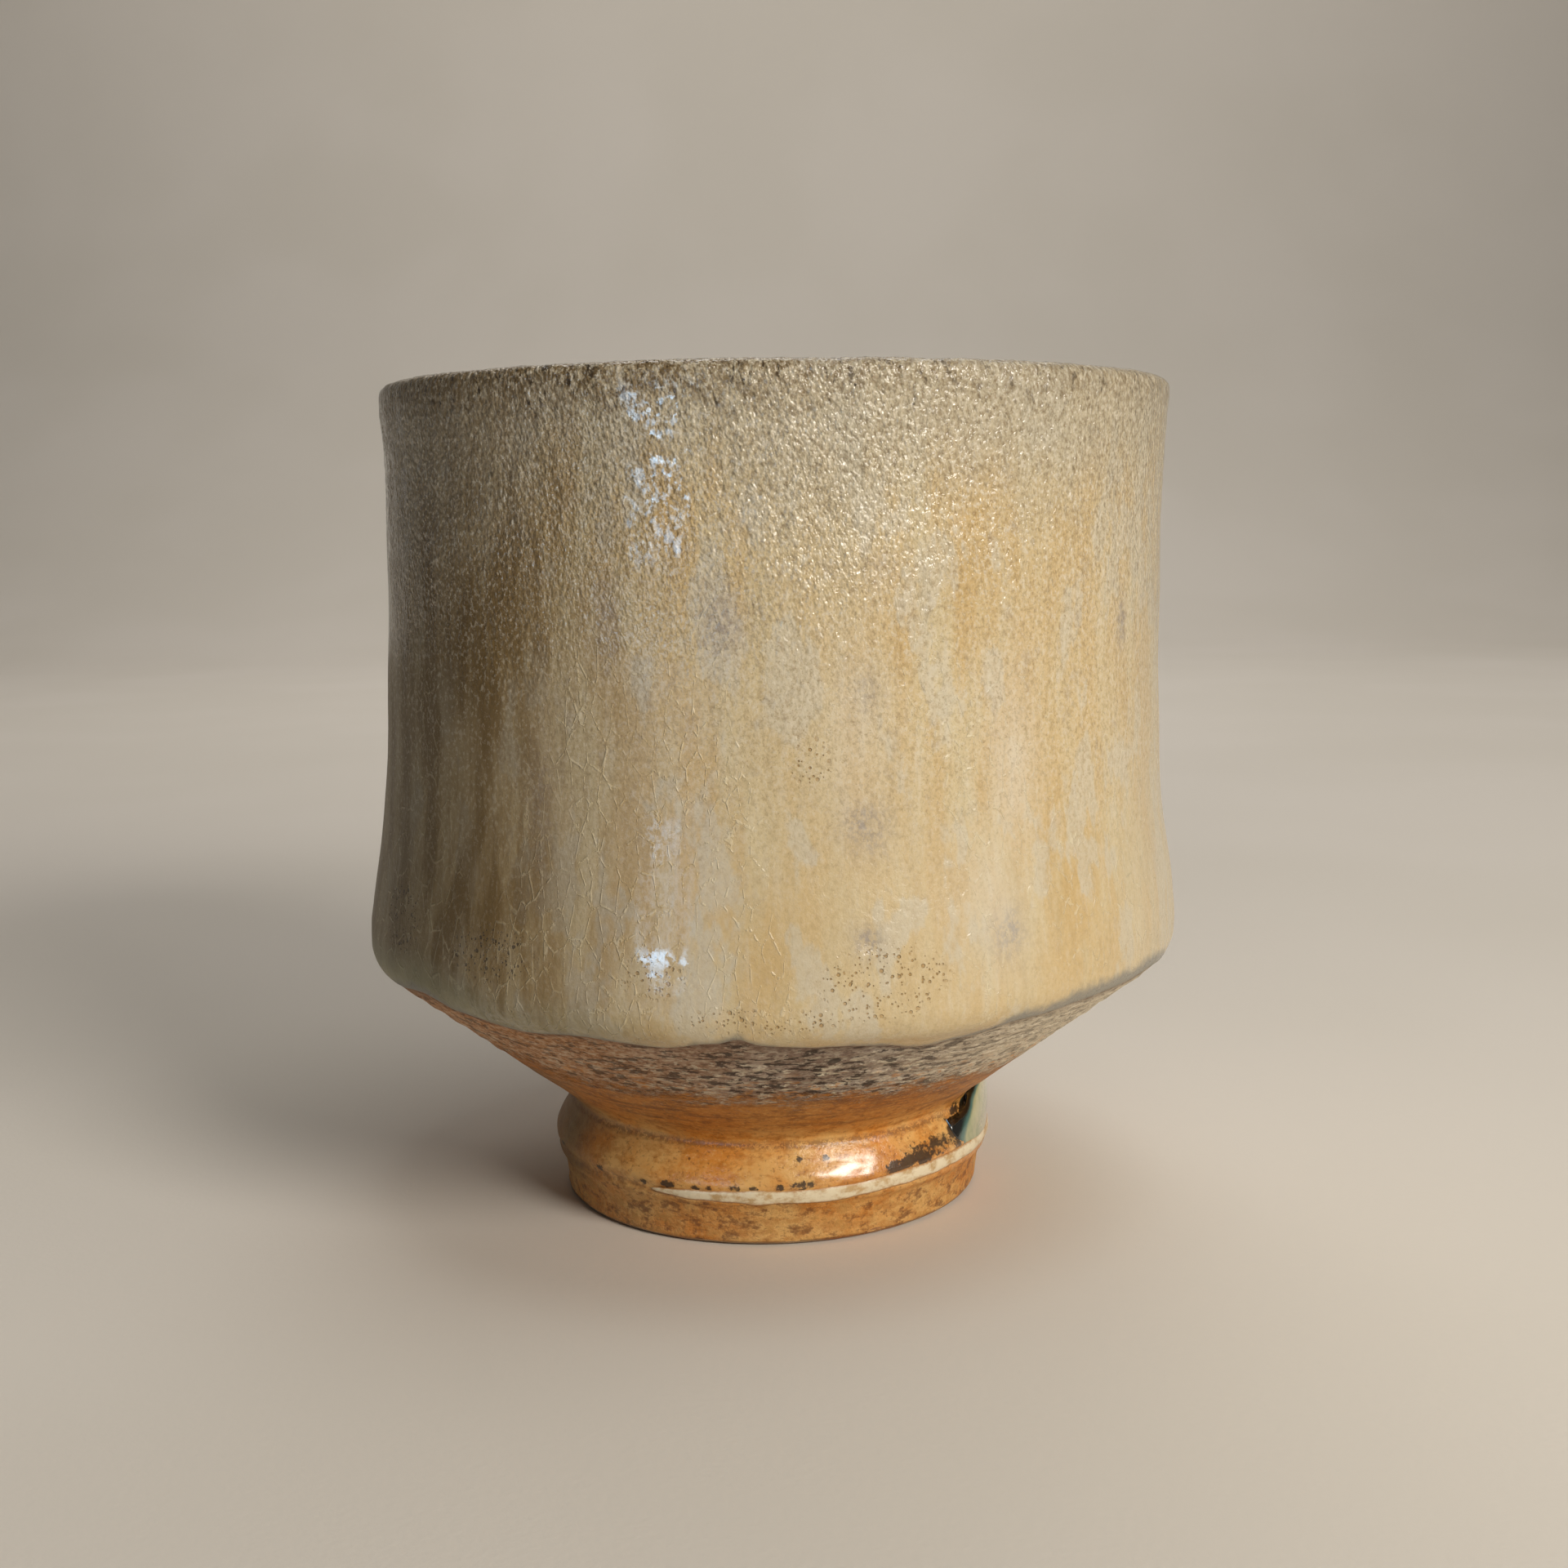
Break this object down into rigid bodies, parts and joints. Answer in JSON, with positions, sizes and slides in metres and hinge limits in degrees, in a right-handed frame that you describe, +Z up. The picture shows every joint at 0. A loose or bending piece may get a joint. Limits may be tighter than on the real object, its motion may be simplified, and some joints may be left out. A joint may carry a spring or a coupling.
{
  "type": "tea bowl",
  "caption": "Stoneware tea bowl with a straight waisted wall, a sharp shoulder over a sloping underside and a rounded foot ring, cream crackle glaze outside and in.",
  "frame": {"origin": "middle of the flat that the foot stands on", "axes": "+Z up along the bowl's axis; -Y is the front, the side that faces the viewer; +X is to the right"},
  "size_m": [0.0956, 0.0956, 0.095],
  "materials": {
    "stoneware": "bare fired clay",
    "slip": "matt",
    "cream_glaze": "satin crackle glaze, dry and rough towards the lip",
    "liner_glaze": "glossy crackle glaze",
    "ash": "dry, rough ash crust",
    "flashing": "glossy orange flashing",
    "white_glaze": "glossy",
    "green_glass": "clear green ash glass"
  },
  "bodies": {
    "root": {"bowl_body": "stoneware", "foot_ring": "stoneware", "luting_slip": "slip", "outer_glaze": "cream_glaze", "inner_glaze": "liner_glaze", "ash_band": "ash", "flashing_slip": "flashing", "foot_line": "white_glaze", "green_run": "green_glass"}
  },
  "joints": []
}
